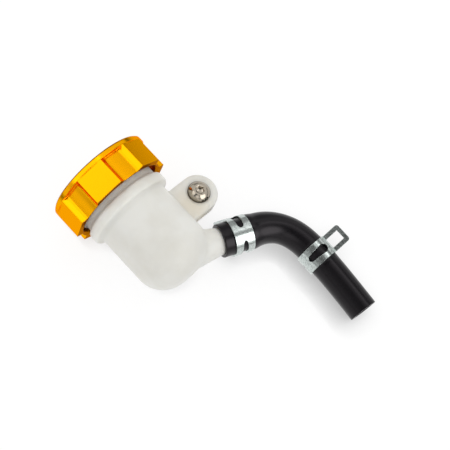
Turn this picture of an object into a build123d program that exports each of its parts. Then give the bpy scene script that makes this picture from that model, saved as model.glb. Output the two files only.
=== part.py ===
from build123d import *
import os
from math import cos, pi, radians, sin, sqrt, tan

# Brake fluid reservoir: a moulded cup with an ear and a side spigot, a lobed screw cap
# over a slip plate and a bellows diaphragm, and a hose held by spring band clamps.
# Millimetres. The cup's axis is parallel to Z, mouth up. The ear, the spigot and the hose
# point to +X. The origin is on the mounting screw's axis, where its thread starts just
# beyond the ear's back face, and the thread points to +Y.

# Mounting screw: a button head screw with a hexagon socket
screw_d = 5.0
screw_neck_d = 4.5
screw_length = 16.0
thread_from_ear = 0.3
head_d = 9.5
head_height = 2.75
head_edge = 0.5
head_flat_r = 2.6
socket_across_flats = 3.0
socket_depth = 1.6
screw_tip_chamfer = 0.5

# Ear of the cup, with its steel sleeve
screw_gap = 0.15
sleeve_wall = 1.1
ear_thickness = 7.0
ear_half_width = 8.0
ear_stand_off = 9.5
ear_front_round = 0.6
ear_back_round = 1.5
ear_root_round = 1.2

# Cup
body_r = 16.0
cup_wall = 1.8
cup_floor_z = -23.0
cup_floor_flat_r = 4.0
bead_rise = 2.6
bead_height = 4.8
bead_mid_z = 13.4
bead_round = 1.3
bead_blend = 1.2
neck_step = 1.0
neck_wall = 2.1
mouth_z = 27.4
mouth_round = 0.5

# Spigot, leaning down from the cup's side; its lengths run along its own axis
spigot_drop = 21.1
spigot_axis_z = -12.9
spigot_root_r = 9.4
spigot_root_past = 3.0
spigot_shoulder = 0.6
spigot_r = 5.0
spigot_bore_r = 3.5
spigot_length = 14.5
barb_rise = 0.4
barb_length = 2.2
barb_tip_r = 4.4
root_blend = 2.0

# Screw cap
cap_gap = 2.0
cap_height = 14.0
cap_clock = 5.0
lobe_count = 6
skirt_wall = 1.3
flute_depth = 1.7
flute_angle = 29.0
flute_wall_lean = 45.0
flute_floor_round = 1.6
lobe_edge_round = 0.4
rim_step = 0.5
rim_height = 2.2
rim_chamfer = 0.5
thread_depth = 1.6
thread_gap = 0.3
cap_mouth_chamfer = 0.8
cap_recess_depth = 0.6
cap_recess_margin = 4.5

# Diaphragm and slip plate, stacked on the mouth under the cap
flange_thickness = 1.2
bellows_gap = 0.5
bellows_wall = 0.9
bellows_steps = 3
bellows_step_depth = 4.0
bellows_step_in = 1.9
plate_thickness = 1.0
plate_ring_width = 8.0

# Hose: relaxed size, its straight run from the end on the spigot, then the other points of
# its centre line as (x, z) steps from that end
hose_r = 6.25
hose_bore_r = 4.0
hose_straight = 20.5
hose_taper = 4.0
hose_points = [(24.7, -13.0), (27.5, -21.1), (27.5, -32.3), (26.6, -45.8), (25.1, -59.3)]
arc_share = 0.45

# Spring band clamps
band_width = 8.2
band_thickness = 0.8
band_gap = 0.06
tongue_width = 3.4
tongue_play = 0.45
tongue_angle = 60.0
loop_height = 7.5
loop_bar = 1.7
loop_round = 1.2
tab_height = 6.5
slot_wide = 3.8
slot_narrow = 2.7
slot_start = 44.0
slot_end = 128.0
window_turn = 72.0
window_overlap = 12.0
window_narrow = 2.0
window_end = 190.0
shoulder_angle = 8.0
spigot_clamp_at = 8.2
spigot_clamp_turn = 41.0
hose_clamp_at = 45.8
hose_clamp_turn = -22.0

# Sizes that follow from the ones above
ear_reach = body_r + ear_stand_off
axis_x = -ear_reach
axis_y = -thread_from_ear - ear_thickness / 2
sleeve_bore_r = screw_d / 2 + screw_gap
sleeve_r = sleeve_bore_r + sleeve_wall
body_bore_r = body_r - cup_wall
cup_corner_r = body_r - cup_floor_flat_r
bead_r = body_r + bead_rise
neck_r = body_r + neck_step
neck_bore_r = neck_r - neck_wall
bead_low = bead_mid_z - bead_height / 2
bead_high = bead_mid_z + bead_height / 2
cap_low = bead_high + cap_gap
cap_high = cap_low + cap_height
cap_bore_r = neck_r + thread_depth + thread_gap
flute_floor_r = cap_bore_r + skirt_wall
lobe_flat_r = flute_floor_r + flute_depth
rim_r = lobe_flat_r + rim_step
flange_top = mouth_z + flange_thickness
plate_top = flange_top + plate_thickness
seal_r = neck_r
plate_hole_r = seal_r - plate_ring_width
# A stretched hose keeps the area of its section
hose_on_spigot_r = sqrt(hose_r**2 - hose_bore_r**2 + spigot_r**2)

ear_back = Plane.XZ.offset(thread_from_ear)
FROM_LOW = (Align.CENTER, Align.CENTER, Align.MIN)
down = radians(spigot_drop)
spigot_way = Vector(cos(down), 0, -sin(down))
spigot_root_length = body_r / cos(down) + spigot_root_past
spigot_root = Vector(axis_x, axis_y, spigot_axis_z)
hose_start = spigot_root + spigot_way * spigot_root_length
spigot_frame = Plane(origin=hose_start, x_dir=(0, 1, 0), z_dir=spigot_way)


def column(radius, low, high):
    """A round column on the cup's axis between two heights."""
    return Pos(axis_x, axis_y, low) * Cylinder(radius, high - low, align=FROM_LOW)


def on_spigot(start, length, first_r, last_r):
    """A round stretch along the spigot's axis; start is counted from the hose's end."""
    if first_r == last_r:
        form = Cylinder(first_r, length, align=FROM_LOW)
    else:
        form = Cone(first_r, last_r, length, align=FROM_LOW)
    return spigot_frame * Pos(0, 0, start) * form


def low_edges(solid):
    """The edges at the lowest end of a solid."""
    return solid.edges().group_by(Axis.Z)[0]


def high_edges(solid):
    """The edges at the highest end of a solid."""
    return solid.edges().group_by(Axis.Z)[-1]


def blended(body, other, radius):
    """Two solids in one, with a fillet where they meet."""
    joined = body + other
    return fillet(new_edges(body, other, combined=joined), radius)


# Cup, with its bead, ear and spigot in one moulding

def spigot_stretches():
    """The spigot past its root, as (start, length, first radius, last radius)."""
    barb_start = spigot_length - barb_length
    half = barb_length / 2
    crest_r = spigot_r + barb_rise
    return [
        (0, barb_start, spigot_r, spigot_r),
        (barb_start, half, spigot_r, crest_r),
        (barb_start + half, half, crest_r, barb_tip_r),
    ]


def make_ear():
    """The ear's plate, round at its end, reaching into the cup's wall."""
    reach = ear_reach - (body_r + body_bore_r) / 2
    outline = Circle(ear_half_width) + Pos(-reach / 2, 0) * Rectangle(reach, 2 * ear_half_width)
    ear = extrude(ear_back * outline, ear_thickness)
    front = ear.edges().group_by(Axis.Y)[0]
    ear = fillet(front.filter_by(lambda e: e.center().X > -reach + 0.01), ear_front_round)
    back = ear.edges().group_by(Axis.Y)[-1]
    return fillet(back.filter_by(lambda e: e.center().X > -reach + 0.01), ear_back_round)


def make_cup():
    body = column(body_r, cup_floor_z, bead_mid_z)
    body = fillet(low_edges(body), cup_corner_r)
    bead = column(bead_r, bead_low, bead_high)
    bead = fillet(bead.edges().filter_by(GeomType.CIRCLE), bead_round)
    body = blended(body, bead, bead_blend)
    root_end_r = spigot_r + spigot_shoulder
    root = on_spigot(-spigot_root_length, spigot_root_length, spigot_root_r, root_end_r)
    body = blended(body, root, root_blend)
    body = blended(body, make_ear(), ear_root_round)
    for stretch in spigot_stretches():
        body += on_spigot(*stretch)
    neck = column(neck_r, bead_mid_z, mouth_z)
    neck = fillet(high_edges(neck), mouth_round)
    cup = body + neck
    cavity = column(body_bore_r, cup_floor_z + cup_wall, mouth_z + 1)
    cavity = fillet(low_edges(cavity), cup_corner_r - cup_wall)
    upper = column(neck_bore_r, bead_low + cup_wall, mouth_z + 1)
    upper = chamfer(low_edges(upper), neck_bore_r - body_bore_r)
    cup -= cavity + upper
    cup -= on_spigot(-spigot_root_length, spigot_root_length, spigot_root_r - cup_wall, spigot_bore_r)
    cup -= on_spigot(-0.5, spigot_length + 1, spigot_bore_r, spigot_bore_r)
    return cup - extrude(ear_back * Circle(sleeve_r), ear_thickness)


# Sleeve and mounting screw

def make_sleeve():
    return extrude(ear_back * (Circle(sleeve_r) - Circle(sleeve_bore_r)), ear_thickness)


def make_screw():
    """The head stands on the ear's front face. A neck thinner than the thread passes through
    the sleeve, and the threaded end starts just beyond the ear's back face."""
    edge_r = head_d / 2
    dome_z = (head_height**2 + head_flat_r**2 - head_edge**2 - edge_r**2) / (2 * (head_height - head_edge))
    dome_r = sqrt(head_flat_r**2 + (head_height - dome_z) ** 2)
    head = Cylinder(edge_r, head_height, align=FROM_LOW) & Pos(0, 0, dome_z) * Sphere(dome_r)
    socket = extrude(RegularPolygon(socket_across_flats / 2, 6, major_radius=False), socket_depth)
    head -= Pos(0, 0, head_height - socket_depth) * socket
    neck_length = ear_thickness + thread_from_ear
    neck = Pos(0, 0, -neck_length) * Cylinder(screw_neck_d / 2, neck_length, align=FROM_LOW)
    thread_length = screw_length - neck_length
    thread = Pos(0, 0, -screw_length) * Cylinder(screw_d / 2, thread_length, align=FROM_LOW)
    thread = chamfer(low_edges(thread), screw_tip_chamfer)
    return ear_back.offset(ear_thickness) * (head + neck + thread)


# Screw cap

def flute():
    """One finger flute between two lobes, seen along the cap's axis. Its walls lean outwards
    from a round floor."""
    corner_r = lobe_flat_r / cos(radians(180 / lobe_count - flute_angle / 2))
    half = radians(flute_angle / 2)
    slope = tan(radians(flute_wall_lean))
    apex = corner_r * (cos(half) - sin(half) / slope)
    far = 2 * lobe_flat_r
    wide = (far - apex) * slope
    wedge = make_face(Polyline((apex, 0), (far, -wide), (far, wide), close=True))
    return wedge - Circle(flute_floor_r)


def make_cap():
    """Six flat lobes with flutes between them, under a round rim."""
    pitch = 360 / lobe_count
    outline = Rot(0, 0, -pitch / 2) * RegularPolygon(lobe_flat_r, lobe_count, major_radius=False)
    for i in range(lobe_count):
        outline -= Rot(0, 0, (i + 0.5) * pitch) * flute()
    middle_r = (flute_floor_r + lobe_flat_r) / 2
    inner = outline.vertices().filter_by(lambda v: v.center().length < middle_r)
    outline = fillet(inner, flute_floor_round)
    outer = outline.vertices().filter_by(lambda v: v.center().length > lobe_flat_r)
    outline = fillet(outer, lobe_edge_round)
    skirt = extrude(outline, cap_height - rim_height)
    cap = Pos(axis_x, axis_y, cap_low) * Rot(0, 0, cap_clock) * skirt
    rim = column(rim_r, cap_high - rim_height, cap_high)
    cap += chamfer(high_edges(rim), rim_chamfer)
    cap -= column(cap_bore_r, cap_low - 1, plate_top)
    mouth_cone = Cone(cap_bore_r + cap_mouth_chamfer, cap_bore_r, cap_mouth_chamfer, align=FROM_LOW)
    cap -= Pos(axis_x, axis_y, cap_low) * mouth_cone
    return cap - column(rim_r - cap_recess_margin, cap_high - cap_recess_depth, cap_high + 1)


# Slip plate and diaphragm

def make_plate():
    return column(seal_r, flange_top, plate_top) - column(plate_hole_r, flange_top - 1, plate_top + 1)


def make_diaphragm():
    """A rubber flange on the mouth with stepped bellows hanging inside the neck."""
    solid = column(seal_r, mouth_z, flange_top)
    hollow = None
    for i in range(bellows_steps):
        radius = neck_bore_r - bellows_gap - i * bellows_step_in
        low = mouth_z - (i + 1) * bellows_step_depth
        solid += column(radius, low, flange_top)
        space = column(radius - bellows_wall, low + bellows_wall, flange_top + 1)
        hollow = space if hollow is None else hollow + space
    return solid - hollow


# Hose

def route_points():
    """The points of the hose's centre line, from its end on the spigot to its free end."""
    bend = hose_start + spigot_way * hose_straight
    return [hose_start, bend] + [hose_start + Vector(x, 0, z) for x, z in hose_points]


def route_radii(points):
    """One arc radius for each corner of the route, as large as its two runs allow."""
    radii = []
    for before, at, after in zip(points, points[1:], points[2:]):
        turn = (at - before).get_angle(after - at)
        shorter = min((at - before).length, (after - at).length)
        radii.append(arc_share * shorter / tan(radians(turn / 2)))
    return radii


def hose_path():
    """The hose's centre line, its straight runs joined by tangent arcs."""
    return FilletPolyline(*route_points(), radius=route_radii(route_points()))


def tube_along(path, radius):
    """A round bar along the hose's path."""
    start = Plane(origin=path @ 0, z_dir=path % 0)
    return sweep(start * Circle(radius), path=path)


def make_hose():
    """A tube stretched over the spigot and its barb."""
    path = hose_path()
    wall = hose_on_spigot_r - spigot_r
    outside = tube_along(path, hose_r)
    inside = tube_along(path, hose_bore_r)
    for start, length, first_r, last_r in spigot_stretches()[:2]:
        outside += on_spigot(start, length, first_r + wall, last_r + wall)
    for stretch in spigot_stretches():
        inside += on_spigot(*stretch)
    crest_at = spigot_length - barb_length / 2
    crest_r = spigot_r + barb_rise + wall
    outside += on_spigot(crest_at, barb_length / 2 + hose_taper, crest_r, hose_r)
    print("hose arc radii", [round(r, 1) for r in route_radii(route_points())])
    section = pi * (hose_r**2 - hose_bore_r**2)
    print("hose length", round(path.length, 1), "section times length", round(section * path.length))
    return outside - inside


# Spring band clamps

def tapered_slot(first_angle, last_angle, first_width, last_width, radius):
    """A cutter through one side of a band: a slot whose two round ends differ in width."""
    mid = radians((first_angle + last_angle) / 2)
    half = radians((last_angle - first_angle) / 2)
    reach = radius * sin(half)
    first = Pos(-reach + first_width / 2, 0) * Circle(first_width / 2)
    last = Pos(reach - last_width / 2, 0) * Circle(last_width / 2)
    outline = make_hull((first + last).edges())
    across = Plane(origin=(0, 0, 0), x_dir=(-sin(mid), cos(mid), 0), z_dir=(cos(mid), sin(mid), 0))
    return extrude(across * outline, 2 * radius)


def band_arc(inner_r, outer_r, first_angle, last_angle, width):
    """A stretch of a ring between two angles."""
    steps = max(2, round((last_angle - first_angle) / 45))
    rays = [(0, 0)]
    for i in range(steps + 1):
        angle = radians(first_angle + (last_angle - first_angle) * i / steps)
        rays.append((2 * outer_r * cos(angle), 2 * outer_r * sin(angle)))
    wedge = make_face(Polyline(*rays, close=True))
    arc = (Circle(outer_r) - Circle(inner_r)) & wedge
    return Pos(0, 0, -width / 2) * extrude(arc, width)


def make_clamp(hose_outer_r):
    """A band round Z. The loop ear stands out along +X, and the tongue of the other end
    passes through it and stands out as a tab further round."""
    inner_r = hose_outer_r + band_gap
    outer_r = inner_r + band_thickness
    window = tongue_width + 2 * tongue_play
    band = band_arc(inner_r, outer_r, 0, 360 - shoulder_angle, band_width)
    band -= tapered_slot(-slot_end, -slot_start, slot_narrow, slot_wide, outer_r)
    band -= band_arc(inner_r - 1, outer_r + 1, -1, window_turn, window)
    band -= tapered_slot(window_turn - window_overlap, window_end, window, window_narrow, outer_r)
    tongue = band_arc(inner_r, outer_r, -shoulder_angle, tongue_angle, tongue_width)
    loop = Pos((inner_r + outer_r + loop_height) / 2, 0) * Rectangle(
        outer_r + loop_height - inner_r, band_width
    )
    loop = fillet(loop.vertices().group_by(Axis.X)[-1], loop_round)
    hole_top = outer_r + loop_height - loop_bar
    loop -= Pos((inner_r + hole_top) / 2, 0) * Rectangle(hole_top - inner_r, window)
    loop = Pos(0, band_thickness, 0) * extrude(Plane.XZ * loop, band_thickness)
    tab = Pos((inner_r + outer_r + tab_height) / 2, 0) * Rectangle(outer_r + tab_height - inner_r, tongue_width)
    tab = fillet(tab.vertices().group_by(Axis.X)[-1], loop_round)
    tab = Rot(0, 0, tongue_angle) * extrude(Plane.XZ * tab, band_thickness)
    return band + loop + tongue + tab


def clamp_frame(origin, along, turn):
    """Where a clamp goes: its axis along the hose, its loop ear turned from the XZ plane."""
    start = Plane(origin=origin, x_dir=along.cross(Vector(0, 1, 0)), z_dir=-along)
    return start * Rot(0, 0, turn)


def make_spigot_clamp():
    origin = hose_start + spigot_way * spigot_clamp_at
    return clamp_frame(origin, spigot_way, spigot_clamp_turn) * make_clamp(hose_on_spigot_r)


def make_hose_clamp():
    path = hose_path()
    share = hose_clamp_at / path.length
    return clamp_frame(path @ share, path % share, hose_clamp_turn) * make_clamp(hose_r)


PARTS = {
    "reservoir_cup": make_cup,
    "ear_sleeve": make_sleeve,
    "mounting_screw": make_screw,
    "screw_cap": make_cap,
    "slip_plate": make_plate,
    "diaphragm": make_diaphragm,
    "hose": make_hose,
    "spigot_clamp": make_spigot_clamp,
    "hose_clamp": make_hose_clamp,
}

os.makedirs("parts", exist_ok=True)
for name, make in PARTS.items():
    part = make()
    print(name, "volume", round(part.volume, 1), "solids", len(part.solids()))
    export_step(part, f"parts/{name}.step")
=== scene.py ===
"""A brake fluid reservoir with a gold screw cap and a bent hose, dressed for rendering.

The cup, its sleeve, the cap, the two spring clamps and the seals keep their solids and get their
finishes here. The mounting screw, the thread ridges and the hose are worked out as surfaces.
All lengths are in metres unless a name says otherwise. +Z is the way up in use.
"""

import logging
from dataclasses import dataclass, field
from enum import Enum

import bmesh
import bpy
import numpy as np
from mathutils import Matrix, Vector


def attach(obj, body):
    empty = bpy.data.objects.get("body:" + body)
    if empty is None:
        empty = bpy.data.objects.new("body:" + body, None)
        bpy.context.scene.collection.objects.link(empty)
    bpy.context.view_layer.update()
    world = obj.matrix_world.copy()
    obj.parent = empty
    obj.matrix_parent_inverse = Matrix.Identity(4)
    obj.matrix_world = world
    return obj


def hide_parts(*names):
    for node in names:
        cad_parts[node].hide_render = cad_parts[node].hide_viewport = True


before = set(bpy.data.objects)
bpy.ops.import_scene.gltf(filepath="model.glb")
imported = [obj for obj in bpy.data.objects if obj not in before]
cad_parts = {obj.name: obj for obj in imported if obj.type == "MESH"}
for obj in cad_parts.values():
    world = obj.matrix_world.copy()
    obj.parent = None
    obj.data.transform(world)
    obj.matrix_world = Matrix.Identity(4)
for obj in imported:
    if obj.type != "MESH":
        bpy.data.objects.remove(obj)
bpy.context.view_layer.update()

logging.basicConfig(level=logging.INFO, format="%(message)s")
LOG = logging.getLogger("reservoir")

Triple = tuple[float, float, float]
Tree = bpy.types.NodeTree
Node = bpy.types.Node
Socket = bpy.types.NodeSocket

MM = 0.001
TURN = 2 * np.pi
CUP_AXIS = np.array([-25.5, -3.8, 0.0]) * MM
SCREW_HEAD_R = 4.75 * MM
HOSE_R = 6.25 * MM

# Points of one surface that are nearer to each other than this become one
MERGE_WITHIN = 0.0005 * MM

# The hose's pattern coordinate grows by one over this length
MARK_LENGTH = 10 * MM

# The Wave node draws this many radians of wave over one unit of its scaled place
WAVE_RADIANS = 20.0

# The Mix node's sockets by number, because its plain and colour sockets share their names
LEVEL_A, LEVEL_B, LEVEL_OUT = 2, 3, 0
COLOUR_A, COLOUR_B, COLOUR_OUT = 6, 7, 2


class Body(Enum):
    """The rigid bodies that the pieces made here ride on."""

    RESERVOIR = "reservoir"
    CAP = "cap"


# Colours and shader nodes


def linear(colour: str) -> tuple[float, float, float, float]:
    """Turns an sRGB hex colour into linear red, green, blue and alpha.

    The sRGB curve is a straight line near black and a power of 2.4 above it.

    Args:
        colour: the colour as #RRGGBB.

    Returns:
        Four linear channels, alpha last.
    """
    value = np.array([int(colour[i : i + 2], 16) for i in (1, 3, 5)]) / 255
    out = np.where(value <= 0.04045, value / 12.92, ((value + 0.055) / 1.055) ** 2.4)
    return float(out[0]), float(out[1]), float(out[2]), 1.0


def add_node(
    tree: Tree, kind: str, inputs: dict[str | int, object] | None = None, **settings: object
) -> Node:
    """Adds one shader node.

    Args:
        tree: the node tree it goes into.
        kind: the node's type name.
        inputs: input name or number to a value, or to the output socket that feeds it.
        settings: the node's own properties.

    Returns:
        The new node.
    """
    node = tree.nodes.new(kind)
    for name, value in settings.items():
        setattr(node, name, value)
    for key, value in (inputs or {}).items():
        if isinstance(value, Socket):
            tree.links.new(value, node.inputs[key])
        else:
            node.inputs[key].default_value = value
    return node


@dataclass(frozen=True)
class Relief:
    """A fine pattern in a surface: how far it repeats, how deep it is and how much it shows."""

    spacing: float
    depth: float
    strength: float


@dataclass(frozen=True)
class Finish:
    """A surface finish: one Principled surface that each kind of finish dresses further."""

    name: str
    colour: str
    roughness: float

    def material(self) -> bpy.types.Material:
        """Builds the material.

        Returns:
            The finished material.
        """
        made = bpy.data.materials.new(self.name)
        made.use_nodes = True
        tree = made.node_tree
        tree.nodes.clear()
        skin = add_node(
            tree,
            "ShaderNodeBsdfPrincipled",
            {"Base Color": linear(self.colour), "Roughness": self.roughness},
        )
        add_node(tree, "ShaderNodeOutputMaterial", {"Surface": skin.outputs["BSDF"]})
        self.dress(tree, skin)
        return made

    def dress(self, tree: Tree, skin: Node) -> None:
        """Adds the finish's own patterns to its surface."""

    @staticmethod
    def place(tree: Tree, offset: np.ndarray | None = None) -> Socket:
        """Gives the point on the piece, in metres, measured from the offset."""
        where = add_node(tree, "ShaderNodeTexCoord").outputs["Object"]
        if offset is None:
            return where
        moved = add_node(
            tree, "ShaderNodeMapping", {"Vector": where, "Location": tuple(-offset)}
        )
        return moved.outputs["Vector"]

    @staticmethod
    def paint(tree: Tree, into: Socket, colour: str, layers: list[tuple[Socket, str]]) -> None:
        """Feeds a colour input from one colour with others laid over it.

        Args:
            tree: the material's node tree.
            into: the input.
            colour: the lowest colour, as sRGB hex.
            layers: for each colour over it, the socket of its share and its sRGB hex.
        """
        tone = linear(colour)
        for share, over in layers:
            mixed = add_node(
                tree,
                "ShaderNodeMix",
                {"Factor": share, COLOUR_A: tone, COLOUR_B: linear(over)},
                data_type="RGBA",
            )
            tone = mixed.outputs[COLOUR_OUT]
        tree.links.new(tone, into)

    @staticmethod
    def emboss(
        tree: Tree, skin: Node, patterns: list[tuple[Socket, Relief]], under: Node | None = None
    ) -> None:
        """Presses patterns into the surface, one over the other.

        Args:
            tree: the material's node tree.
            skin: the surface's shader.
            patterns: for each pattern, the socket of its height, and its relief.
            under: the node whose normal they start from, where edges are rounded first.
        """
        for height, relief in patterns:
            inputs = {"Height": height, "Strength": relief.strength, "Distance": relief.depth}
            if under:
                inputs["Normal"] = under.outputs["Normal"]
            under = add_node(tree, "ShaderNodeBump", inputs)
        tree.links.new(under.outputs["Normal"], skin.inputs["Normal"])


@dataclass(frozen=True)
class MouldedNylon(Finish):
    """Natural nylon 6, injection moulded.

    It looks milky: light goes into its wall and comes out softened. Its tone clouds slowly, its
    skin is satin, and it is warmer round the ear.
    """

    deep_colour: str = "#C9C5B9"
    cloud_spacing: float = 11.11 * MM
    cloud_band: tuple[float, float] = (0.35, 0.7)
    cloud_share: float = 0.35
    ear_colour: str = "#E0D3B8"
    ear_centre: Triple = (-6 * MM, 0.0, -2 * MM)
    ear_near: float = 4 * MM
    ear_far: float = 13 * MM
    ear_share: float = 0.7
    grain: Relief = Relief(spacing=0.303 * MM, depth=0.02 * MM, strength=0.25)
    edge_round: float = 3.2 * MM
    index: float = 1.53
    inner_light: float = 0.5
    light_reach: float = 3.0 * MM
    reach_by_colour: Triple = (1.0, 0.95, 0.85)

    def dress(self, tree: Tree, skin: Node) -> None:
        """Clouds of the melt a centimetre across, a warmer ear and the mould's 0.3 mm grain."""
        where = self.place(tree)
        cloud = add_node(
            tree,
            "ShaderNodeTexNoise",
            {"Vector": where, "Scale": 1 / self.cloud_spacing, "Detail": 3.0},
        )
        share = add_node(
            tree,
            "ShaderNodeMapRange",
            {
                "Value": cloud.outputs["Fac"],
                "From Min": self.cloud_band[0],
                "From Max": self.cloud_band[1],
                "To Max": self.cloud_share,
            },
        )
        from_ear = add_node(
            tree, "ShaderNodeVectorMath", {0: where, 1: self.ear_centre}, operation="DISTANCE"
        )
        warmth = add_node(
            tree,
            "ShaderNodeMapRange",
            {
                "Value": from_ear.outputs["Value"],
                "From Min": self.ear_near,
                "From Max": self.ear_far,
                "To Min": self.ear_share,
                "To Max": 0.0,
            },
            interpolation_type="SMOOTHSTEP",
        )
        layers = [
            (share.outputs["Result"], self.deep_colour),
            (warmth.outputs["Result"], self.ear_colour),
        ]
        self.paint(tree, skin.inputs["Base Color"], self.colour, layers)
        grain = add_node(
            tree,
            "ShaderNodeTexNoise",
            {"Vector": where, "Scale": 1 / self.grain.spacing, "Detail": 2.0},
        )
        soft = add_node(tree, "ShaderNodeBevel", {"Radius": self.edge_round}, samples=8)
        self.emboss(tree, skin, [(grain.outputs["Fac"], self.grain)], soft)
        skin.inputs["IOR"].default_value = self.index
        skin.inputs["Subsurface Weight"].default_value = self.inner_light
        skin.inputs["Subsurface Radius"].default_value = self.reach_by_colour
        skin.inputs["Subsurface Scale"].default_value = self.light_reach


@dataclass(frozen=True)
class AnodisedGold(Finish):
    """Aluminium, turned and milled, then dyed gold in its oxide and sealed.

    It is a glossy metal that pales at a slant. Inside the cap and on its lower face it is painted a
    browner gold with a browner sheen at a slant, as painted shade and a painted reflection of the
    shaded nylon, and a dark line of painted shade runs round the top's chamfer. Real turning
    marks, 0.1 mm apart, are too fine to show, so they are drawn 1.6 mm apart and faint.
    """

    axis: Triple = (0.0, 0.0, 0.0)
    edge_colour: str = "#F8BE40"
    # Painted shade: browner gold inside the cap and on its lower face
    inner_painted_shade_colour: str = "#A97338"
    # Painted reflection: a browner sheen at a slant there, as if mirroring shaded nylon
    inner_painted_reflection_tint: str = "#E1B279"
    inner_r: float = 0.0
    inner_top: float = 0.0
    lower_face: float = 0.0
    # Painted shade: a dark line round the top's chamfer
    chamfer_painted_shade_colour: str = "#8F5C12"
    chamfer_at: float = 0.0
    chamfer_half: float = 0.2 * MM
    turning: Relief = Relief(spacing=1.571 * MM, depth=0.01 * MM, strength=0.04)
    turning_wander: float = 0.3
    milling: Relief = Relief(spacing=6.25 * MM, depth=0.1 * MM, strength=0.08)
    edge_round: float = 0.4 * MM

    def dress(self, tree: Tree, skin: Node) -> None:
        """Turning marks round the cap's axis, slow milling waves, and gold with painted shade and
        reflection.
        """
        where = self.place(tree, np.array(self.axis))
        rings = add_node(
            tree,
            "ShaderNodeTexWave",
            {
                "Vector": where,
                "Scale": TURN / (WAVE_RADIANS * self.turning.spacing),
                "Distortion": self.turning_wander,
                "Detail": 1.0,
            },
            wave_type="RINGS",
            rings_direction="Z",
        )
        smears = add_node(
            tree,
            "ShaderNodeTexNoise",
            {"Vector": where, "Scale": 1 / self.milling.spacing, "Detail": 2.0},
        )
        edge = add_node(tree, "ShaderNodeBevel", {"Radius": self.edge_round}, samples=8)
        patterns = [(rings.outputs["Fac"], self.turning), (smears.outputs["Fac"], self.milling)]
        self.emboss(tree, skin, patterns, edge)
        # Painted shade inside the cap, on its lower face and on the top's chamfer, and painted
        # reflection in the sheen inside and below
        low, chamfer = self.zones(tree, where)
        layers = [(low, self.inner_painted_shade_colour), (chamfer, self.chamfer_painted_shade_colour)]
        self.paint(tree, skin.inputs["Base Color"], self.colour, layers)
        painted_reflection_at_slant = [(low, self.inner_painted_reflection_tint)]
        self.paint(tree, skin.inputs["Specular Tint"], self.edge_colour, painted_reflection_at_slant)
        skin.inputs["Metallic"].default_value = 1.0

    def zones(self, tree: Tree, where: Socket) -> tuple[Socket, Socket]:
        """Tells apart the zones where shade and reflection are painted.

        Args:
            tree: the material's node tree.
            where: the point, measured from the cap's axis.

        Returns:
            Two sockets that are 1 in their zone: inside or on the lower face, and the chamfer.
        """
        height = add_node(tree, "ShaderNodeSeparateXYZ", {"Vector": where}).outputs["Z"]
        flat = add_node(tree, "ShaderNodeVectorMath", {0: where, 1: (1, 1, 0)}, operation="MULTIPLY")
        reach = add_node(
            tree, "ShaderNodeVectorMath", {0: flat.outputs["Vector"]}, operation="LENGTH"
        )
        within = add_node(
            tree,
            "ShaderNodeMath",
            {0: reach.outputs["Value"], 1: self.inner_r},
            operation="LESS_THAN",
        )
        under = add_node(tree, "ShaderNodeMath", {0: height, 1: self.inner_top}, operation="LESS_THAN")
        inside = add_node(
            tree, "ShaderNodeMath", {0: within.outputs[0], 1: under.outputs[0]}, operation="MULTIPLY"
        )
        face = add_node(tree, "ShaderNodeMath", {0: height, 1: self.lower_face}, operation="LESS_THAN")
        low = add_node(
            tree, "ShaderNodeMath", {0: inside.outputs[0], 1: face.outputs[0]}, operation="MAXIMUM"
        )
        chamfer = add_node(
            tree,
            "ShaderNodeMath",
            {0: height, 1: self.chamfer_at, 2: self.chamfer_half},
            operation="COMPARE",
        )
        return low.outputs[0], chamfer.outputs[0]


@dataclass(frozen=True)
class ZincPlate(Finish):
    """Spring steel strip, bright zinc plated and passivated.

    It is a cool grey metal. The passivation mottles it: some spots are duller and darker.
    """

    dull_colour: str = "#A6ACAA"
    dull_band: tuple[float, float] = (0.45, 0.7)
    gloss_band: tuple[float, float] = (0.3, 0.7)
    smoother: float = 0.06
    rougher: float = 0.1
    mottle: Relief = Relief(spacing=0.769 * MM, depth=0.03 * MM, strength=0.2)
    edge_round: float = 0.15 * MM

    def dress(self, tree: Tree, skin: Node) -> None:
        """Mottling 0.8 mm across in the passivation, and slightly rounded edges."""
        mottle = add_node(
            tree,
            "ShaderNodeTexNoise",
            {"Vector": self.place(tree), "Scale": 1 / self.mottle.spacing, "Detail": 2.0},
        )
        rough = add_node(
            tree,
            "ShaderNodeMapRange",
            {
                "Value": mottle.outputs["Fac"],
                "From Min": self.gloss_band[0],
                "From Max": self.gloss_band[1],
                "To Min": self.roughness - self.smoother,
                "To Max": self.roughness + self.rougher,
            },
        )
        tree.links.new(rough.outputs["Result"], skin.inputs["Roughness"])
        blotch = add_node(
            tree,
            "ShaderNodeMapRange",
            {
                "Value": mottle.outputs["Fac"],
                "From Min": self.dull_band[0],
                "From Max": self.dull_band[1],
            },
        )
        layers = [(blotch.outputs["Result"], self.dull_colour)]
        self.paint(tree, skin.inputs["Base Color"], self.colour, layers)
        edge = add_node(tree, "ShaderNodeBevel", {"Radius": self.edge_round}, samples=4)
        self.emboss(tree, skin, [(mottle.outputs["Fac"], self.mottle)], edge)
        skin.inputs["Metallic"].default_value = 1.0


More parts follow.
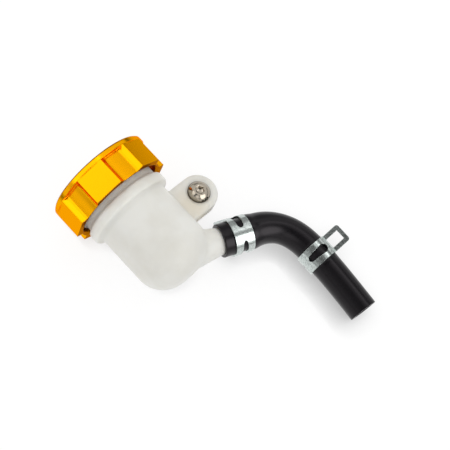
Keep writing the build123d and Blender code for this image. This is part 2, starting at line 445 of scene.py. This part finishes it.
@dataclass(frozen=True)
class TurnedSteel(Finish):
    """Steel, turned on a lathe and polished on a wheel.

    It is a bright metal that mirrors the room in wavy patches. Towards the rim of the screw's head
    a darker tone is painted in, as painted shade for the dark surroundings that the rim mirrors.
    """

    rim_r: float = SCREW_HEAD_R
    rim_width: float = 0.5 * MM
    # Painted shade: the dark reflection and shade at the head's rim, painted into the colour
    rim_painted_shade_colour: str = "#4A443B"
    waves: Relief = Relief(spacing=1.0 * MM, depth=0.12 * MM, strength=0.6)

    def dress(self, tree: Tree, skin: Node) -> None:
        """Waves of the polishing a millimetre apart, and painted shade towards the rim."""
        where = self.place(tree)
        flat = add_node(tree, "ShaderNodeVectorMath", {0: where, 1: (1, 0, 1)}, operation="MULTIPLY")
        reach = add_node(
            tree, "ShaderNodeVectorMath", {0: flat.outputs["Vector"]}, operation="LENGTH"
        )
        rim = add_node(
            tree,
            "ShaderNodeMapRange",
            {
                "Value": reach.outputs["Value"],
                "From Min": self.rim_r - self.rim_width,
                "From Max": self.rim_r,
            },
        )
        # Painted shade towards the head's rim
        layers = [(rim.outputs["Result"], self.rim_painted_shade_colour)]
        self.paint(tree, skin.inputs["Base Color"], self.colour, layers)
        waves = add_node(
            tree, "ShaderNodeTexNoise", {"Vector": where, "Scale": 1 / self.waves.spacing}
        )
        self.emboss(tree, skin, [(waves.outputs["Fac"], self.waves)])
        skin.inputs["Metallic"].default_value = 1.0


@dataclass(frozen=True)
class ExtrudedRubber(Finish):
    """EPDM rubber, extruded through a die.

    It is near black with a satin sheen, which the die's streaks break up along the hose.
    """

    sheen_colour: str = "#FFF7FD"
    sheen: float = 0.3
    girth: float = TURN * HOSE_R
    streaks: Relief = Relief(spacing=0.6545 * MM, depth=0.05 * MM, strength=0.1)
    streak_length: float = 3.333 * MM
    grain: Relief = Relief(spacing=0.4 * MM, depth=0.03 * MM, strength=0.2)
    index: float = 1.5

    def dress(self, tree: Tree, skin: Node) -> None:
        """Die streaks 0.65 mm apart round the hose, and a 0.4 mm pitted grain."""
        around = add_node(tree, "ShaderNodeUVMap", uv_map="along")
        counts = (MARK_LENGTH / self.streak_length, self.girth / self.streaks.spacing, 1.0)
        stretched = add_node(
            tree, "ShaderNodeMapping", {"Vector": around.outputs["UV"], "Scale": counts}
        )
        streaks = add_node(
            tree,
            "ShaderNodeTexNoise",
            {"Vector": stretched.outputs["Vector"], "Scale": 1.0, "Detail": 2.0},
            noise_dimensions="2D",
        )
        grain = add_node(
            tree,
            "ShaderNodeTexNoise",
            {"Vector": self.place(tree), "Scale": 1 / self.grain.spacing, "Detail": 3.0},
        )
        patterns = [(streaks.outputs["Fac"], self.streaks), (grain.outputs["Fac"], self.grain)]
        self.emboss(tree, skin, patterns)
        skin.inputs["IOR"].default_value = self.index
        skin.inputs["Specular IOR Level"].default_value = self.sheen
        skin.inputs["Specular Tint"].default_value = linear(self.sheen_colour)


@dataclass(frozen=True)
class PlainMoulding(Finish):
    """A hidden rubber or plastic part, moulded or punched: an even, fine matt skin."""

    grain: Relief = Relief(spacing=0.333 * MM, depth=0.02 * MM, strength=0.2)
    index: float = 1.5

    def dress(self, tree: Tree, skin: Node) -> None:
        """A grain 0.3 mm across."""
        grain = add_node(
            tree,
            "ShaderNodeTexNoise",
            {"Vector": self.place(tree), "Scale": 1 / self.grain.spacing},
        )
        self.emboss(tree, skin, [(grain.outputs["Fac"], self.grain)])
        skin.inputs["IOR"].default_value = self.index


def coat(name: str, made: bpy.types.Material) -> bpy.types.Object:
    """Gives a kept solid its finish and returns the solid."""
    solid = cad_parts[name]
    for holder in solid.material_slots:
        holder.material = made
    return solid


# Surfaces


@dataclass
class Sheet:
    """A grid of points that becomes quads: rows run one way and columns the other."""

    points: np.ndarray
    closed_rows: bool = False
    closed_columns: bool = True
    marks: np.ndarray | None = None

    def faces(self) -> np.ndarray:
        """The corner numbers of every quad, joined round where the grid is closed."""
        rows, columns = self.points.shape[:2]
        i = np.arange(rows if self.closed_rows else rows - 1)[:, None]
        j = np.arange(columns if self.closed_columns else columns - 1)[None, :]
        i2, j2 = (i + 1) % rows, (j + 1) % columns
        corners = [i * columns + j, i * columns + j2, i2 * columns + j2, i2 * columns + j]
        return np.stack([np.broadcast_to(c, (i.size, j.size)) for c in corners], -1).reshape(-1, 4)

    def corner_marks(self) -> np.ndarray:
        """The pattern coordinates of every quad's corners, without a jump at the seams."""
        grid = self.marks
        if self.closed_rows:
            grid = np.concatenate([grid, 2 * grid[-1:] - grid[-2:-1]], 0)
        if self.closed_columns:
            grid = np.concatenate([grid, 2 * grid[:, -1:] - grid[:, -2:-1]], 1)
        corners = [grid[:-1, :-1], grid[:-1, 1:], grid[1:, 1:], grid[1:, :-1]]
        return np.stack(corners, 2).reshape(-1, 2)


def make_piece(
    name: str,
    sheets: list[Sheet],
    material: bpy.types.Material,
    body: Body,
    sharp_angle: float = 38.0,
) -> bpy.types.Object:
    """Makes one piece of one or more closed sheets, with its seams and poles merged.

    Args:
        name: the piece's name.
        sheets: the grids that it is made of.
        material: its finish.
        body: the body that it rides on.
        sharp_angle: edges that turn more than this stay crisp, in degrees.

    Returns:
        The new object.
    """
    mesh = bpy.data.meshes.new(name)
    start = np.cumsum([0] + [s.points.shape[0] * s.points.shape[1] for s in sheets])
    points = np.concatenate([s.points.reshape(-1, 3) for s in sheets])
    faces = np.concatenate([s.faces() + first for s, first in zip(sheets, start)])
    mesh.from_pydata(points, [], faces)
    if all(s.marks is not None for s in sheets):
        layer = mesh.uv_layers.new(name="along")
        marks = np.concatenate([s.corner_marks() for s in sheets]).astype(np.float32)
        layer.uv.foreach_set("vector", marks.ravel())
    work = bmesh.new()
    work.from_mesh(mesh)
    bmesh.ops.remove_doubles(work, verts=work.verts, dist=MERGE_WITHIN)
    bmesh.ops.dissolve_degenerate(work, edges=work.edges, dist=MERGE_WITHIN)
    bmesh.ops.recalc_face_normals(work, faces=work.faces)
    work.to_mesh(mesh)
    work.free()
    mesh.shade_smooth()
    mesh.set_sharp_from_angle(angle=np.radians(sharp_angle))
    mesh.materials.append(material)
    piece = bpy.data.objects.new(name, mesh)
    bpy.context.scene.collection.objects.link(piece)
    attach(piece, body.value)
    LOG.info("piece %s: %d faces", name, len(mesh.polygons))
    return piece


def ease(value: np.ndarray) -> np.ndarray:
    """A smooth step from 0 to 1: 3 v squared minus 2 v cubed, held level outside."""
    v = np.clip(value, 0, 1)
    return v * v * (3 - 2 * v)


@dataclass(frozen=True)
class Thread:
    """The ridge of a screw thread round the cup's axis, outside or inside its wall.

    It starts at the height low and the angle start, in radians. Over growth, in turns, its ends
    grow from a thin share of the profile. Its foot is sunk into the wall, so that no gap shows.
    """

    wall_r: float
    crest_r: float
    turns: float
    start: float
    low: float = 19.4 * MM
    pitch: float = 3.0 * MM
    foot_half: float = 0.58 * MM
    crest_half: float = 0.3 * MM
    sunk: float = 0.15 * MM
    growth: float = 0.25
    thin: float = 0.25
    steps_a_turn: int = 72

    def ridge(self) -> Sheet:
        """Carries the ridge's four-sided profile up a helix.

        The point at turn t and profile corner (r, h) is (r cos a, r sin a, low + pitch t + h)
        with a = 2 pi t + start.

        Returns:
            The sheet, closed round the profile, whose ends shrink into the wall.
        """
        t = np.linspace(0, self.turns, int(self.turns * self.steps_a_turn) + 1)[:, None]
        grown = ease(np.minimum(t, self.turns - t) / self.growth)
        sink = np.sign(self.wall_r - self.crest_r) * self.sunk
        out = np.array([0.0, 1.0, 1.0, 0.0])
        half = np.array([-self.foot_half, -self.crest_half, self.crest_half, self.foot_half])
        rise = (self.crest_r - self.wall_r) * grown + sink * (1 - grown)
        r = self.wall_r + sink * (1 - out) + out * rise
        h = half * (self.thin + (1 - self.thin) * grown)
        a = TURN * t + self.start
        points = np.stack([r * np.cos(a), r * np.sin(a), self.low + self.pitch * t + h], -1)
        ends = [np.repeat(points[i : i + 1].mean(1, keepdims=True), 4, 1) for i in (0, -1)]
        return Sheet(CUP_AXIS + np.concatenate([ends[0], points, ends[1]]))


# Sub-assemblies


@dataclass
class Cup:
    """The moulded cup with its thread, its ear's steel sleeve, and the seals on its mouth."""

    thread: Thread = Thread(wall_r=17.0 * MM, crest_r=18.55 * MM, turns=2.1, start=0.0)
    nylon: MouldedNylon = MouldedNylon("natural nylon, moulded", "#E4E3DD", 0.42)
    sleeve_steel: TurnedSteel = TurnedSteel("sleeve steel, turned", "#C4C2BE", 0.25)
    seal: PlainMoulding = PlainMoulding("nitrile rubber, moulded", "#1C1C1D", 0.6)
    plate: PlainMoulding = PlainMoulding("acetal sheet, punched", "#E8E7E2", 0.4)

    def dress(self) -> None:
        """Gives the solids their finishes and makes the neck's thread."""
        nylon = self.nylon.material()
        coat("reservoir_cup", nylon)
        coat("ear_sleeve", self.sleeve_steel.material())
        coat("diaphragm", self.seal.material())
        coat("slip_plate", self.plate.material())
        ridge = self.thread.ridge()
        make_piece("neck_thread", [ridge], nylon, Body.RESERVOIR)


@dataclass
class Cap:
    """The screw cap, whose solid gets its finish and the ridge of its inside thread."""

    thread: Thread = Thread(wall_r=18.9 * MM, crest_r=17.35 * MM, turns=2.0, start=np.pi)
    gold: AnodisedGold = AnodisedGold(
        "aluminium, gold anodised",
        "#FCAE06",
        0.2,
        axis=tuple(CUP_AXIS),
        inner_r=19.75 * MM,
        inner_top=29.0 * MM,
        lower_face=17.85 * MM,
        chamfer_at=31.58 * MM,
    )

    def dress(self) -> None:
        """Gives the solid its finish and makes the thread."""
        gold = self.gold.material()
        coat("screw_cap", gold)
        make_piece("cap_thread", [self.thread.ridge()], gold, Body.CAP)


@dataclass
class MountingScrew:
    """A button head screw with a hexagon socket and a rolled metric thread.

    The head's sizes are measured from its seat. The shank begins inside the head, and its
    thread runs in from the origin on.
    """

    neck_r: float = 2.25 * MM
    thread_r: float = 2.49 * MM
    thread_depth: float = 0.49 * MM
    length: float = 16.0 * MM
    pitch: float = 0.8 * MM
    run_in: float = 0.8 * MM
    run_out: float = 0.3 * MM
    step: float = 0.3 * MM
    tip: float = 0.5 * MM
    in_head: float = 0.5 * MM
    crest_share: float = 0.2
    head_r: float = SCREW_HEAD_R
    head_height: float = 2.75 * MM
    head_edge: float = 0.5 * MM
    head_flat_r: float = 2.6 * MM
    head_foot: float = 0.1 * MM
    head_inner_r: float = 1.0 * MM
    socket: float = 3.0 * MM
    socket_depth: float = 1.6 * MM
    socket_lead: float = 0.35 * MM
    socket_lead_depth: float = 0.25 * MM
    socket_lead_shape: float = 0.6
    socket_point: float = 0.5 * MM
    seat: float = -7.3 * MM
    head_steps: int = 96
    dome_steps: int = 10
    shank_steps: int = 48
    rows_a_pitch: int = 12
    sharp_angle: float = 30.0
    steel: TurnedSteel = TurnedSteel("stainless steel, polished", "#ADA496", 0.1)

    def head(self) -> Sheet:
        """The head's skin: from the shank's edge out, over the dome and down into the socket.

        The dome is a sphere through the edge and the flat. The socket's rows follow a hexagon,
        r = half width / cos(a mod 60 - 30 degrees), and its lead-in is between that and round.
        """
        angle = np.linspace(0, TURN, self.head_steps, endpoint=False)
        hexagon = 1 / np.cos((angle % (np.pi / 3)) - np.pi / 6)
        rise = self.head_height - self.head_edge
        centre = (
            self.head_height**2 + self.head_flat_r**2 - self.head_edge**2 - self.head_r**2
        ) / (2 * rise)
        dome_r = np.hypot(self.head_flat_r, self.head_height - centre)
        foot = self.head_foot
        rows = [
            (self.head_inner_r, 0.0, 0.0),
            (self.head_r - foot, 0.0, 0.0),
            (self.head_r, foot, 0.0),
        ]
        for r in np.linspace(self.head_r, self.head_flat_r, self.dome_steps):
            rows.append((r, centre + np.sqrt(dome_r**2 - r * r), 0.0))
        half = self.socket / 2
        floor = self.head_height - self.socket_depth
        rows += [
            (half + self.socket_lead, self.head_height, self.socket_lead_shape),
            (half, self.head_height - self.socket_lead_depth, 1.0),
            (half, floor, 1.0),
            (0.0, floor - self.socket_point, 1.0),
        ]
        reach, height, sixfold = np.array(rows).T[:, :, None]
        r = reach * (1 + sixfold * (hexagon - 1))
        y = self.seat - height * np.ones(self.head_steps)
        return Sheet(np.stack([r * np.cos(angle), y, r * np.sin(angle)], -1))

    def shank(self) -> Sheet:
        """The shank: a plain neck inside the sleeve, then the thread's crest less its wave.

        r = crest - depth x (1 - wave(y / pitch - a / 2 pi)) past the ear's back, with a tapered
        tip. The wave climbs in straight flanks from a sharp root to a flat crest.
        """
        start, end = self.seat - self.in_head, self.seat + self.length
        rows = int((end - start) / self.pitch * self.rows_a_pitch)
        y = np.linspace(start, end, rows)[:, None]
        angle = np.linspace(0, TURN, self.shank_steps, endpoint=False)[None, :]
        turn = (y / self.pitch - angle / TURN) % 1.0
        from_root = 0.5 - np.abs(turn - 0.5)
        wave = np.clip(from_root / (0.5 - self.crest_share / 2), 0, 1)
        grown = ease(y / self.run_in) * ease((end - y) / self.run_out)
        crest = self.neck_r + (self.thread_r - self.neck_r) * ease(y / self.step)
        taper = np.clip(y - (end - self.tip), 0, self.tip)
        r = np.minimum(crest - self.thread_depth * (1 - wave) * grown, crest - taper)
        r[0], r[-1] = 0.0, 0.0
        points = np.stack([r * np.cos(angle), np.broadcast_to(y, r.shape), r * np.sin(angle)], -1)
        points[-1, :, 1] = points[-2, :, 1]
        return Sheet(points)

    def build(self) -> bpy.types.Object:
        """Makes the screw, which stands for its solid."""
        screw = make_piece(
            "button_screw",
            [self.head(), self.shank()],
            self.steel.material(),
            Body.RESERVOIR,
            self.sharp_angle,
        )
        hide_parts("mounting_screw")
        return screw


@dataclass
class Hose:
    """The rubber hose, stretched over the spigot's barb and squeezed by its clamps.

    A size that ends in at is a length along the hose from its end on the spigot. The one
    called swelling_at is measured from the edge of a clamp.
    """

    route: tuple[Triple, ...] = (
        (-0.006701, -0.0038, -0.020154),
        (0.005054, -0.0038, -0.02469),
        (0.012424, -0.0038, -0.027534),
        (0.017999, -0.0038, -0.033154),
        (0.020799, -0.0038, -0.041254),
        (0.020799, -0.0038, -0.052454),
        (0.019899, -0.0038, -0.065954),
        (0.018399, -0.0038, -0.079454),
    )
    radius: float = HOSE_R
    free_end_r: float = 6.08 * MM
    bore_r: float = 4.0 * MM
    spigot_r: float = 5.02 * MM
    stretched_r: float = 6.94 * MM
    barb_at: float = 13.4 * MM
    barb_rise: float = 0.4 * MM
    barb_spread: float = 2.0 * MM
    narrows_after: float = 1.2 * MM
    narrows_over: float = 1.5 * MM
    settled_at: float = 30.0 * MM
    clamp_half: float = 4.1 * MM
    clamp_blend: float = 0.6 * MM
    first_clamp_at: float = 8.2 * MM
    second_clamp: Triple = (0.0204, -0.0038, -0.0508)
    squeeze: float = 0.1 * MM
    swelling_share: float = 0.7
    swelling_at: float = 0.5 * MM
    swelling_spread: float = 0.7 * MM
    lip: float = 0.35 * MM
    near_ends: tuple[float, ...] = (0.02 * MM, 0.06 * MM, 0.13 * MM, 0.22 * MM, 0.35 * MM)
    even_from: float = 0.6 * MM
    even_rows: int = 220
    columns: int = 96
    line_steps: int = 32
    cord_step: int = 4
    rubber: ExtrudedRubber = ExtrudedRubber("EPDM rubber, extruded", "#08070A", 0.29)

    def line(self) -> np.ndarray:
        """The points of the hose's smooth centre line, read from its NURBS spline."""
        curve = bpy.data.curves.new("hose_line", "CURVE")
        curve.dimensions = "3D"
        curve.resolution_u = self.line_steps
        spline = curve.splines.new("NURBS")
        spline.points.add(len(self.route) - 1)
        weighted = np.column_stack([np.array(self.route), np.ones(len(self.route))])
        spline.points.foreach_set("co", weighted.ravel())
        spline.order_u = 3
        spline.use_endpoint_u = True
        holder = bpy.data.objects.new("hose_line", curve)
        mesh = bpy.data.meshes.new_from_object(holder)
        points = np.zeros(len(mesh.vertices) * 3)
        mesh.vertices.foreach_get("co", points)
        bpy.data.objects.remove(holder)
        bpy.data.curves.remove(curve)
        bpy.data.meshes.remove(mesh)
        return points.reshape(-1, 3)

    def rows(self, length: float) -> np.ndarray:
        """The lengths along the hose at which it has a ring: close together at its lips."""
        first = np.array((0.0, *self.near_ends))
        middle = np.linspace(self.even_from, length - self.even_from, self.even_rows)
        return np.concatenate([first, middle, length - first[::-1]])

    def outer_radius(self, s: np.ndarray, second_at: float) -> np.ndarray:
        """The outside radius at each length along the hose.

        Stretched on the spigot, a little more over the barb, then eased down to the relaxed
        size, and a little less towards the free end. Under each clamp the wall gives by the
        squeeze, and it swells by most of that beside it. Both ends have a round lip.

        Args:
            s: the lengths along the hose.
            second_at: the length at which the second clamp sits.

        Returns:
            The radii.
        """
        over_barb = np.exp(-(((s - self.barb_at) / self.barb_spread) ** 2)) * self.barb_rise
        settle = ease((s - self.barb_at) / (self.settled_at - self.barb_at))
        slim = ease((s - self.settled_at) / (s[-1] - self.settled_at))
        r = self.stretched_r + over_barb + (self.radius - self.stretched_r) * settle
        r = r + (self.free_end_r - self.radius) * slim
        for at in (self.first_clamp_at, second_at):
            away = np.abs(s - at) - self.clamp_half
            r = r - self.squeeze * ease(-away / self.clamp_blend)
            beside = np.exp(-(((away - self.swelling_at) / self.swelling_spread) ** 2))
            r = r + self.swelling_share * self.squeeze * beside
        for edge in (s - s[0], s[-1] - s):
            short = np.clip(self.lip - edge, 0, self.lip)
            r = r - self.lip + np.sqrt(self.lip**2 - short**2)
        return r

    def build(self, clamps: list[bpy.types.Object]) -> bpy.types.Object:
        """Makes the hose as a tube along its line.

        Args:
            clamps: the pieces that sit on the hose; not used.

        Returns:
            The hose.
        """
        line = self.line()
        run = np.concatenate([[0], np.cumsum(np.linalg.norm(np.diff(line, axis=0), axis=1))])
        s = self.rows(run[-1])
        path = np.column_stack([np.interp(s, run, line[:, k]) for k in range(3)])
        way = np.gradient(path, s, axis=0)
        way /= np.linalg.norm(way, axis=1, keepdims=True)
        side = np.array([0.0, 1.0, 0.0])
        up = np.cross(way, side)
        clamp_s = s[np.argmin(np.linalg.norm(path - np.array(self.second_clamp), axis=1))]
        outer = self.outer_radius(s, clamp_s)
        narrowing = ease((s - self.barb_at - self.narrows_after) / self.narrows_over)
        inner = self.spigot_r + (self.bore_r - self.spigot_r) * narrowing
        angle = np.linspace(0, TURN, self.columns, endpoint=False)[:, None, None]
        there_and_back = np.concatenate([np.arange(len(s)), np.arange(len(s))[::-1]])
        both_r = np.concatenate([outer, inner[::-1]])
        ring = np.cos(angle) * side + np.sin(angle) * up[there_and_back][None]
        points = (path[there_and_back][None] + both_r[None, :, None] * ring).transpose(1, 0, 2)
        length_mark = s[there_and_back][:, None] / MARK_LENGTH
        marks = np.stack(np.broadcast_arrays(length_mark, angle[None, :, 0, 0] / TURN), -1)
        tube = Sheet(points, closed_rows=True, marks=marks)
        hose = make_piece("rubber_hose", [tube], self.rubber.material(), Body.RESERVOIR)
        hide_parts("hose")
        LOG.info("hose length %.1f mm", s[-1] / MM)
        return hose


@dataclass
class Clamps:
    """The two spring band clamps."""

    zinc: ZincPlate = ZincPlate("spring steel, zinc plated", "#CCD4D1", 0.2)

    def dress(self) -> list[bpy.types.Object]:
        """Gives both clamps their finish and returns them."""
        made = self.zinc.material()
        return [coat(name, made) for name in ("spigot_clamp", "hose_clamp")]


# Studio


@dataclass(frozen=True)
class Patch:
    """A soft-edged round patch of the room, seen only in glossy surfaces.

    Its direction is given along the camera's right, up and back, and its level holds within the
    inner angle and fades out by the outer one.
    """

    toward: Triple
    inner_deg: float
    outer_deg: float
    level: float


@dataclass(frozen=True)
class Lamp:
    """A rectangular area lamp that points at the part.

    Its place from the target and the way that its first side runs are given along the camera's
    right, up and back. Either only gloss sees it, or only matt surfaces.
    """

    name: str
    place: Triple
    size: tuple[float, float]
    watts: float
    glossy: bool
    along: Triple = (1.0, 0.0, 0.0)


@dataclass
class Studio:
    """The floor that the part lies on, the soft light and the camera.

    The camera's axes and eye, the target and floor_up are in the part's frame, and floor_at is
    the floor's height along floor_up. The way that the contact shadow's light comes from and
    the pool's place from the target run along the camera's right, up and back.
    """

    right: Triple = (0.69847, -0.22070, -0.68131)
    up: Triple = (0.57794, -0.38717, 0.71820)
    back: Triple = (-0.42221, -0.89512, -0.14310)
    eye: Triple = (-0.166475, -0.356857, -0.072904)
    sensor_mm: float = 36.0
    lens_mm: float = 78.25
    clip: tuple[float, float] = (0.01, 10.0)
    target: Triple = (0.0, -0.0038, -0.02)
    floor_up: Triple = (-0.258, -0.965, 0.048)
    floor_at: float = -11.17 * MM
    floor_half: float = 1.5
    floor_white: float = 0.98
    floor_share: float = 0.2
    floor_lift: float = 0.83
    contact_reach: float = 9.5 * MM
    contact_dark: float = 0.3
    contact_from: Triple = (0.5, 0.62, 0.45)
    pool_at: Triple = (-0.05, -0.035, 0.0)
    pool_near: float = 75 * MM
    pool_far: float = 300 * MM
    pool_level: float = 1.0
    beyond_level: float = 0.12
    world_level: float = 0.96
    room_level: float = 0.92
    # The dark side where the camera stands, then darker and brighter parts of the room
    patches: tuple[Patch, ...] = (
        Patch((0.0, 0.0, 1.0), 26.0, 60.0, 0.1),
        Patch((-0.05, -0.45, 0.89), 8.0, 24.0, 1.3),
        Patch((0.70, 0.66, 0.27), 7.0, 15.0, 0.12),
        Patch((0.03, 0.99, -0.1), 18.0, 29.0, 0.4),
        Patch((0.72, 0.52, -0.5), 10.0, 18.0, 0.12),
        Patch((-0.55, 0.7, -0.44), 8.0, 14.0, 0.2),
        Patch((-0.72, -0.38, 0.58), 5.0, 9.0, 0.25),
        Patch((0.22, 0.66, 0.72), 10.0, 16.0, 1.0),
        Patch((0.70, -0.28, 0.65), 22.0, 27.0, 2.8),
        Patch((0.56, 0.60, 0.58), 4.0, 10.0, 2.2),
    )
    lamps: tuple[Lamp, ...] = (
        Lamp("panel", (-0.293, 0.211, 0.5256), (0.84, 0.33), 1.28, True, (0.74, 0.67, 0.0)),
        Lamp("key", (0.39, 0.3, 0.3), (0.16, 0.16), 0.25, False),
    )

    def aimed(self, right: float, up: float, back: float) -> Vector:
        """A vector given by its lengths along the camera's right, up and back."""
        return Vector(
            right * np.array(self.right) + up * np.array(self.up) + back * np.array(self.back)
        )

    def add_lamp(self, lamp: Lamp) -> bpy.types.Object:
        """Adds one lamp."""
        light = bpy.data.lights.new(lamp.name, "AREA")
        light.shape = "RECTANGLE"
        light.size, light.size_y = lamp.size
        light.energy = lamp.watts
        away = self.aimed(*lamp.place)
        z = away.normalized()
        x = self.aimed(*lamp.along)
        x = (x - z * x.dot(z)).normalized()
        turned = Matrix((x, z.cross(x), z)).transposed().to_4x4()
        made = bpy.data.objects.new(lamp.name, light)
        made.matrix_world = Matrix.Translation(Vector(self.target) + away) @ turned
        made.visible_glossy = lamp.glossy
        made.visible_diffuse = not lamp.glossy
        bpy.context.scene.collection.objects.link(made)
        return made

    def floor(self) -> bpy.types.Object:
        """A white surface under the part as it lies, seen only from its upper side."""
        normal = Vector(self.floor_up).normalized()
        across = normal.cross(Vector((0, 0, 1))).normalized()
        along = normal.cross(across)
        middle = Vector(self.target) - normal * (normal.dot(Vector(self.target)) - self.floor_at)
        corners = [
            middle + across * a * self.floor_half + along * b * self.floor_half
            for a, b in ((-1, -1), (1, -1), (1, 1), (-1, 1))
        ]
        mesh = bpy.data.meshes.new("floor")
        mesh.from_pydata([tuple(c) for c in corners], [], [(0, 1, 2, 3)])
        work = bmesh.new()
        work.from_mesh(mesh)
        work.faces.ensure_lookup_table()
        work.normal_update()
        if work.faces[0].normal.dot(normal) < 0:
            bmesh.ops.reverse_faces(work, faces=work.faces)
        work.to_mesh(mesh)
        work.free()
        mesh.materials.append(self.floor_material())
        floor = bpy.data.objects.new("floor", mesh)
        bpy.context.scene.collection.objects.link(floor)
        return floor

    def floor_material(self) -> bpy.types.Material:
        """White to the camera but for a contact shadow, and a pool of light to gloss.

        Returns:
            The material, which lets everything through from below.
        """
        made = bpy.data.materials.new("studio floor, white")
        made.use_nodes = True
        tree = made.node_tree
        tree.nodes.clear()
        path = add_node(tree, "ShaderNodeLightPath")
        side = add_node(tree, "ShaderNodeNewGeometry")
        shown = self.floor_shown(tree, path)
        away = add_node(
            tree,
            "ShaderNodeVectorMath",
            {0: side.outputs["Position"], 1: Vector(self.target) + self.aimed(*self.pool_at)},
            operation="DISTANCE",
        )
        pool = add_node(
            tree,
            "ShaderNodeMapRange",
            {
                "Value": away.outputs["Value"],
                "From Min": self.pool_near,
                "From Max": self.pool_far,
                "To Min": self.pool_level,
                "To Max": self.beyond_level,
            },
            interpolation_type="SMOOTHSTEP",
        )
        pooled = add_node(tree, "ShaderNodeEmission", {"Strength": pool.outputs["Result"]})
        seen = add_node(
            tree,
            "ShaderNodeMixShader",
            {0: path.outputs["Is Glossy Ray"], 1: shown, 2: pooled.outputs[0]},
        )
        clear = add_node(tree, "ShaderNodeBsdfTransparent")
        surface = add_node(
            tree,
            "ShaderNodeMixShader",
            {0: side.outputs["Backfacing"], 1: seen.outputs[0], 2: clear.outputs[0]},
        )
        add_node(tree, "ShaderNodeOutputMaterial", {"Surface": surface.outputs[0]})
        return made

    def floor_shown(self, tree: Tree, path: Node) -> Socket:
        """Lights the floor: matt white for the part, and mostly a glow for the camera.

        The camera sees only a share of the matt white, so the lamps' own shadows stay faint. The
        glow darkens near the part by ambient occlusion that leans towards the light, so that
        this shadow lies on one side. Its Normal comes over a link, since a set value is ignored.

        Args:
            tree: the floor's node tree.
            path: the node that tells the camera's rays apart.

        Returns:
            The shader's socket.
        """
        white = add_node(
            tree,
            "ShaderNodeMix",
            {
                "Factor": path.outputs["Is Camera Ray"],
                LEVEL_A: self.floor_white,
                LEVEL_B: self.floor_white * self.floor_share,
            },
        )
        matt = add_node(tree, "ShaderNodeBsdfDiffuse", {"Color": white.outputs[LEVEL_OUT]})
        toward = self.aimed(*self.contact_from).normalized()
        leaning = add_node(tree, "ShaderNodeCombineXYZ", dict(enumerate(toward)))
        open_sky = add_node(
            tree,
            "ShaderNodeAmbientOcclusion",
            {"Distance": self.contact_reach, "Normal": leaning.outputs[0]},
            samples=12,
        )
        lit = add_node(
            tree,
            "ShaderNodeMapRange",
            {
                "Value": open_sky.outputs["AO"],
                "To Min": self.contact_dark * self.floor_lift,
                "To Max": self.floor_lift,
            },
        )
        lift = add_node(
            tree,
            "ShaderNodeMath",
            {0: path.outputs["Is Camera Ray"], 1: lit.outputs[0]},
            operation="MULTIPLY",
        )
        glow = add_node(tree, "ShaderNodeEmission", {"Strength": lift.outputs[0]})
        both = add_node(tree, "ShaderNodeAddShader", {0: matt.outputs[0], 1: glow.outputs[0]})
        return both.outputs[0]

    def world(self) -> None:
        """White for the camera and even for matt surfaces. Gloss sees a room of soft patches."""
        scene = bpy.context.scene
        scene.world = bpy.data.worlds.new("studio")
        scene.world.use_nodes = True
        tree = scene.world.node_tree
        tree.nodes.clear()
        path = add_node(tree, "ShaderNodeLightPath")
        way = add_node(tree, "ShaderNodeTexCoord").outputs["Generated"]
        room = self.room_level
        for patch in self.patches:
            facing = add_node(
                tree,
                "ShaderNodeVectorMath",
                {0: way, 1: self.aimed(*patch.toward).normalized()},
                operation="DOT_PRODUCT",
            )
            share = add_node(
                tree,
                "ShaderNodeMapRange",
                {
                    "Value": facing.outputs["Value"],
                    "From Min": np.cos(np.radians(patch.outer_deg)),
                    "From Max": np.cos(np.radians(patch.inner_deg)),
                },
                interpolation_type="SMOOTHSTEP",
            )
            mixed = add_node(
                tree,
                "ShaderNodeMix",
                {"Factor": share.outputs["Result"], LEVEL_A: room, LEVEL_B: patch.level},
            )
            room = mixed.outputs[LEVEL_OUT]
        level = add_node(
            tree,
            "ShaderNodeMix",
            {"Factor": path.outputs["Is Glossy Ray"], LEVEL_A: self.world_level, LEVEL_B: room},
        )
        shown = add_node(
            tree,
            "ShaderNodeMath",
            {0: path.outputs["Is Camera Ray"], 1: path.outputs["Is Transmission Ray"]},
            operation="MAXIMUM",
        )
        total = add_node(
            tree,
            "ShaderNodeMix",
            {"Factor": shown.outputs[0], LEVEL_A: level.outputs[LEVEL_OUT], LEVEL_B: 1.0},
        )
        sky = add_node(
            tree,
            "ShaderNodeBackground",
            {"Color": (1, 1, 1, 1), "Strength": total.outputs[LEVEL_OUT]},
        )
        add_node(tree, "ShaderNodeOutputWorld", {"Surface": sky.outputs[0]})

    def camera(self) -> bpy.types.Object:
        """The camera at the photograph's place, with its field of view."""
        data = bpy.data.cameras.new("camera")
        data.sensor_width = self.sensor_mm
        data.lens = self.lens_mm
        data.clip_start, data.clip_end = self.clip
        camera = bpy.data.objects.new("camera", data)
        columns = Matrix((self.right, self.up, self.back)).transposed().to_4x4()
        camera.matrix_world = Matrix.Translation(self.eye) @ columns
        bpy.context.scene.collection.objects.link(camera)
        bpy.context.scene.camera = camera
        return camera

    def build(self) -> None:
        """Sets up the floor, the light and the camera."""
        bpy.context.scene.view_settings.view_transform = "Standard"
        self.floor()
        self.world()
        self.camera()
        for lamp in self.lamps:
            self.add_lamp(lamp)


@dataclass
class Reservoir:
    """The whole part, in the order in which it is put together."""

    cup: Cup = field(default_factory=Cup)
    cap: Cap = field(default_factory=Cap)
    screw: MountingScrew = field(default_factory=MountingScrew)
    hose: Hose = field(default_factory=Hose)
    clamps: Clamps = field(default_factory=Clamps)

    def build(self) -> None:
        """Makes and dresses every piece."""
        self.cup.dress()
        self.cap.dress()
        self.screw.build()
        self.hose.build(self.clamps.dress())


def main() -> None:
    """Builds the part and its studio."""
    Reservoir().build()
    Studio().build()


if __name__ == "__main__":
    main()
